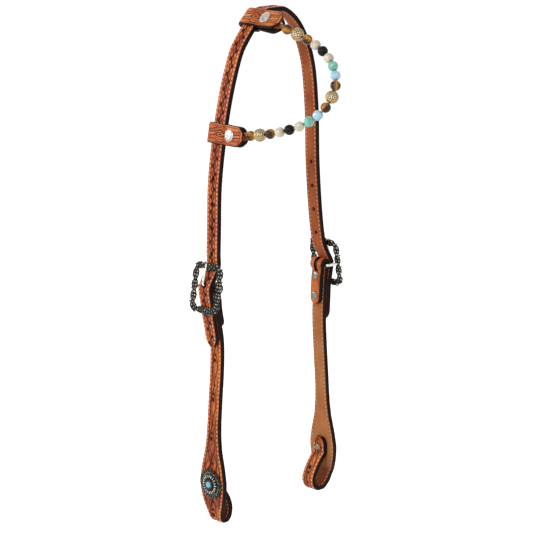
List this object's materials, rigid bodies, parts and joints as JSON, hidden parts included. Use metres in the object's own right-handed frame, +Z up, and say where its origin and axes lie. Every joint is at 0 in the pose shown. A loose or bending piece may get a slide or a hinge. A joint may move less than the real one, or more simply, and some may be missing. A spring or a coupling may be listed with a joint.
{
  "type": "headstall",
  "caption": "One-ear western headstall: lined tooled crown, buckled cheeks with folded bit loops and conchos, and a beaded ear loop on sliding keepers.",
  "frame": {"origin": "middle of the head's poll seat, the flat under the top of the crown lining", "axes": "+X across the head from the near side to the far side, -Y forward, +Z up; Z is the longest extent and Y the shortest"},
  "size_m": [0.1717, 0.1345, 0.4924],
  "materials": {
    "bead_01": "polished banded brown stone",
    "bead_02": "antique gold filigree",
    "bead_03": "polished banded brown stone",
    "bead_04": "cream pearl lustre",
    "bead_05": "glossy black",
    "bead_06": "cream pearl lustre",
    "bead_07": "polished mint green stone",
    "bead_08": "polished pale blue stone",
    "bead_09": "polished banded brown stone",
    "bead_10": "antique gold filigree",
    "bead_11": "polished banded brown stone",
    "bead_12": "polished pale blue stone",
    "bead_13": "polished mint green stone",
    "bead_14": "cream pearl lustre",
    "bead_15": "glossy black",
    "bead_16": "cream pearl lustre",
    "bead_17": "polished banded brown stone",
    "bead_18": "antique gold filigree",
    "bead_19": "polished banded brown stone",
    "crown_lining": "smooth, stitched, dark edges",
    "crown_strap": "tooled and carved, oiled, dark painted edges",
    "ear_cord": "fine twisted wire",
    "far_buckle_frame": "antiqued dark with bright high spots",
    "far_buckle_tongue": "polished",
    "far_chape_post_lower": "nickel plate",
    "far_chape_post_upper": "nickel plate",
    "far_chape_screw_lower": "nickel plate",
    "far_chape_screw_upper": "nickel plate",
    "far_cheek_lining": "smooth, stitched, dark edges",
    "far_cheek_strap": "tooled and carved, oiled, dark painted edges",
    "far_concho_plate": "antiqued dark with bright engraved rays",
    "far_concho_screw": "nickel plate",
    "far_concho_stone": "polished turquoise",
    "lower_cord_end": "nickel plate",
    "lower_keeper": "tooled and carved, oiled, dark painted edges",
    "lower_keeper_cap": "hammered nickel plate",
    "lower_keeper_post": "nickel plate",
    "near_buckle_frame": "antiqued dark with bright high spots",
    "near_buckle_tongue": "polished",
    "near_chape_post_lower": "nickel plate",
    "near_chape_post_upper": "nickel plate",
    "near_chape_screw_lower": "nickel plate",
    "near_chape_screw_upper": "nickel plate",
    "near_cheek_lining": "smooth, stitched, dark edges",
    "near_cheek_strap": "tooled and carved, oiled, dark painted edges",
    "near_concho_plate": "antiqued dark with bright engraved rays",
    "near_concho_screw": "nickel plate",
    "near_concho_stone": "polished turquoise",
    "upper_cord_end": "nickel plate",
    "upper_keeper": "tooled and carved, oiled, dark painted edges",
    "upper_keeper_cap": "hammered nickel plate",
    "upper_keeper_post": "nickel plate"
  },
  "bodies": {
    "crown": {"crown_strap": "crown_strap", "crown_lining": "crown_lining"},
    "near_buckle": {"near_buckle_frame": "near_buckle_frame"},
    "near_tongue": {"near_buckle_tongue": "near_buckle_tongue"},
    "near_cheek": {"near_cheek_strap": "near_cheek_strap", "near_cheek_lining": "near_cheek_lining", "near_chape_screw_upper": "near_chape_screw_upper", "near_chape_screw_lower": "near_chape_screw_lower", "near_chape_post_upper": "near_chape_post_upper", "near_chape_post_lower": "near_chape_post_lower", "near_concho_plate": "near_concho_plate", "near_concho_stone": "near_concho_stone", "near_concho_screw": "near_concho_screw"},
    "far_buckle": {"far_buckle_frame": "far_buckle_frame"},
    "far_tongue": {"far_buckle_tongue": "far_buckle_tongue"},
    "far_cheek": {"far_cheek_strap": "far_cheek_strap", "far_cheek_lining": "far_cheek_lining", "far_chape_screw_upper": "far_chape_screw_upper", "far_chape_screw_lower": "far_chape_screw_lower", "far_chape_post_upper": "far_chape_post_upper", "far_chape_post_lower": "far_chape_post_lower", "far_concho_plate": "far_concho_plate", "far_concho_stone": "far_concho_stone", "far_concho_screw": "far_concho_screw"},
    "ear_piece": {"upper_keeper": "upper_keeper", "upper_keeper_cap": "upper_keeper_cap", "upper_keeper_post": "upper_keeper_post", "upper_cord_end": "upper_cord_end", "lower_keeper": "lower_keeper", "lower_keeper_cap": "lower_keeper_cap", "lower_keeper_post": "lower_keeper_post", "lower_cord_end": "lower_cord_end"},
    "ear_loop": {"ear_cord": "ear_cord"},
    "bead_01": {"bead_01": "bead_01"},
    "bead_02": {"bead_02": "bead_02"},
    "bead_03": {"bead_03": "bead_03"},
    "bead_04": {"bead_04": "bead_04"},
    "bead_05": {"bead_05": "bead_05"},
    "bead_06": {"bead_06": "bead_06"},
    "bead_07": {"bead_07": "bead_07"},
    "bead_08": {"bead_08": "bead_08"},
    "bead_09": {"bead_09": "bead_09"},
    "bead_10": {"bead_10": "bead_10"},
    "bead_11": {"bead_11": "bead_11"},
    "bead_12": {"bead_12": "bead_12"},
    "bead_13": {"bead_13": "bead_13"},
    "bead_14": {"bead_14": "bead_14"},
    "bead_15": {"bead_15": "bead_15"},
    "bead_16": {"bead_16": "bead_16"},
    "bead_17": {"bead_17": "bead_17"},
    "bead_18": {"bead_18": "bead_18"},
    "bead_19": {"bead_19": "bead_19"}
  },
  "joints": [
    {"name": "near_cheek_swing", "type": "hinge", "parent": "crown", "child": "near_cheek", "pos_m": [-0.0701, 0, -0.2545], "axis": [0, 1, 0], "range_deg": [-30, 0]},
    {"name": "near_buckle_rock", "type": "hinge", "parent": "crown", "child": "near_buckle", "pos_m": [-0.0701, 0, -0.2545], "axis": [0, 1, 0], "range_deg": [-1.5, 1.5]},
    {"name": "near_tongue_lift", "type": "hinge", "parent": "near_buckle", "child": "near_tongue", "pos_m": [-0.0701, 0, -0.2545], "axis": [0, 1, 0], "range_deg": [-4, 0]},
    {"name": "far_cheek_swing", "type": "hinge", "parent": "crown", "child": "far_cheek", "pos_m": [0.0732, 0, -0.2545], "axis": [0, 1, 0], "range_deg": [0, 30]},
    {"name": "far_buckle_rock", "type": "hinge", "parent": "crown", "child": "far_buckle", "pos_m": [0.0732, 0, -0.2545], "axis": [0, 1, 0], "range_deg": [-1.5, 1.5]},
    {"name": "far_tongue_lift", "type": "hinge", "parent": "far_buckle", "child": "far_tongue", "pos_m": [0.0732, 0, -0.2545], "axis": [0, 1, 0], "range_deg": [0, 4]},
    {"name": "ear_piece_slip", "type": "hinge", "parent": "crown", "child": "ear_piece", "pos_m": [0.11917, 0, -0.14193], "axis": [0, 1, 0], "range_deg": [-1.5, 0.3]},
    {"name": "ear_loop_swing", "type": "hinge", "parent": "ear_piece", "child": "ear_loop", "pos_m": [-0.0175, -0.0393, -0.0093], "axis": [-0.4014, 0.0387, -0.9151], "range_deg": [-15, 15], "stiffness_Nm_per_rad": 0.2},
    {"name": "turn_bead_01", "type": "hinge", "parent": "ear_loop", "child": "bead_01", "pos_m": [-0.01602, -0.04387, -0.01119], "axis": [0.2875, -0.8852, -0.3658], "continuous": true},
    {"name": "turn_bead_02", "type": "hinge", "parent": "ear_loop", "child": "bead_02", "pos_m": [-0.01282, -0.05401, -0.01516], "axis": [0.2778, -0.8996, -0.337], "continuous": true},
    {"name": "turn_bead_03", "type": "hinge", "parent": "ear_loop", "child": "bead_03", "pos_m": [-0.01006, -0.06424, -0.01918], "axis": [0.1986, -0.9045, -0.3773], "continuous": true},
    {"name": "turn_bead_04", "type": "hinge", "parent": "ear_loop", "child": "bead_04", "pos_m": [-0.00859, -0.07332, -0.0233], "axis": [0.0929, -0.8937, -0.439], "continuous": true},
    {"name": "turn_bead_05", "type": "hinge", "parent": "ear_loop", "child": "bead_05", "pos_m": [-0.00826, -0.08218, -0.02807], "axis": [-0.0284, -0.862, -0.5061], "continuous": true},
    {"name": "turn_bead_06", "type": "hinge", "parent": "ear_loop", "child": "bead_06", "pos_m": [-0.00912, -0.09063, -0.03347], "axis": [-0.1427, -0.8131, -0.5643], "continuous": true},
    {"name": "turn_bead_07", "type": "hinge", "parent": "ear_loop", "child": "bead_07", "pos_m": [-0.01108, -0.09808, -0.03988], "axis": [-0.2443, -0.6628, -0.7079], "continuous": true},
    {"name": "turn_bead_08", "type": "hinge", "parent": "ear_loop", "child": "bead_08", "pos_m": [-0.01394, -0.10396, -0.04748], "axis": [-0.3244, -0.5039, -0.8005], "continuous": true},
    {"name": "turn_bead_09", "type": "hinge", "parent": "ear_loop", "child": "bead_09", "pos_m": [-0.01779, -0.10788, -0.05582], "axis": [-0.4401, -0.2735, -0.8553], "continuous": true},
    {"name": "turn_bead_10", "type": "hinge", "parent": "ear_loop", "child": "bead_10", "pos_m": [-0.02339, -0.10913, -0.06541], "axis": [-0.5389, 0.0204, -0.8421], "continuous": true},
    {"name": "turn_bead_11", "type": "hinge", "parent": "ear_loop", "child": "bead_11", "pos_m": [-0.02956, -0.10733, -0.07454], "axis": [-0.5552, 0.3315, -0.7628], "continuous": true},
    {"name": "turn_bead_12", "type": "hinge", "parent": "ear_loop", "child": "bead_12", "pos_m": [-0.03499, -0.10279, -0.08157], "axis": [-0.5232, 0.5694, -0.634], "continuous": true},
    {"name": "turn_bead_13", "type": "hinge", "parent": "ear_loop", "child": "bead_13", "pos_m": [-0.04009, -0.09642, -0.08746], "axis": [-0.487, 0.6911, -0.5341], "continuous": true},
    {"name": "turn_bead_14", "type": "hinge", "parent": "ear_loop", "child": "bead_14", "pos_m": [-0.04478, -0.08891, -0.09221], "axis": [-0.4425, 0.7987, -0.4077], "continuous": true},
    {"name": "turn_bead_15", "type": "hinge", "parent": "ear_loop", "child": "bead_15", "pos_m": [-0.04896, -0.08049, -0.09581], "axis": [-0.3866, 0.8703, -0.3052], "continuous": true},
    {"name": "turn_bead_16", "type": "hinge", "parent": "ear_loop", "child": "bead_16", "pos_m": [-0.05255, -0.07152, -0.0987], "axis": [-0.3245, 0.9068, -0.2691], "continuous": true},
    {"name": "turn_bead_17", "type": "hinge", "parent": "ear_loop", "child": "bead_17", "pos_m": [-0.05545, -0.06217, -0.10112], "axis": [-0.2497, 0.9452, -0.2103], "continuous": true},
    {"name": "turn_bead_18", "type": "hinge", "parent": "ear_loop", "child": "bead_18", "pos_m": [-0.05783, -0.05131, -0.10335], "axis": [-0.1774, 0.9665, -0.1856], "continuous": true},
    {"name": "turn_bead_19", "type": "hinge", "parent": "ear_loop", "child": "bead_19", "pos_m": [-0.05946, -0.04027, -0.10535], "axis": [-0.1035, 0.9809, -0.1645], "continuous": true}
  ]
}
